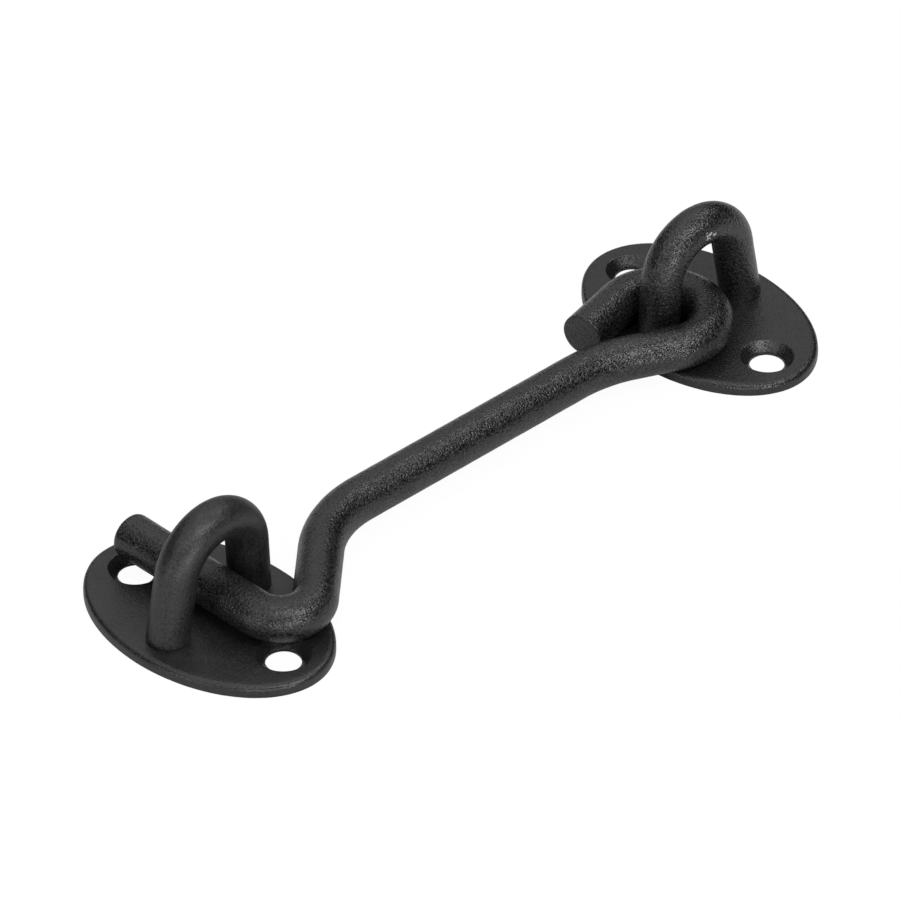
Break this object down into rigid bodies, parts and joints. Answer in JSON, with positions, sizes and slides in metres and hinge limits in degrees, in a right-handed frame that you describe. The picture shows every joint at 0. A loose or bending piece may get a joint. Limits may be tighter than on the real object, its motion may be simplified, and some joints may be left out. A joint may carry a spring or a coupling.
{
  "type": "hook and staple door latch",
  "caption": "Bent rod hook that turns on an oval screw plate's staple and drops its prong into the staple of a second oval plate.",
  "frame": {"origin": "middle of the eye plate's two screw holes, on the plate's back face", "axes": "+X along the hook's shank from the catch plate to the eye plate, +Y towards the prong's tip, +Z away from the door"},
  "size_m": [0.1835, 0.0648, 0.0306],
  "materials": {
    "plate_coat": "matte black powder coat, fine sand texture",
    "rod_coat": "matte black powder coat, coarse sand texture"
  },
  "bodies": {
    "eye": {"eye_plate": "plate_coat", "eye_staple": "rod_coat"},
    "hook": {"hook": "rod_coat"},
    "catch": {"catch_plate": "plate_coat", "catch_staple": "rod_coat"}
  },
  "joints": [
    {"name": "hook_swing", "type": "hinge", "parent": "eye", "child": "hook", "pos_m": [-0.01233, -0.0009, 0.00773], "axis": [0, 0, 1], "range_deg": [0, 145]},
    {"name": "catch_removal", "type": "slide", "parent": "eye", "child": "catch", "axis": [0, 1, 0], "range_m": [0, 0.06]}
  ]
}
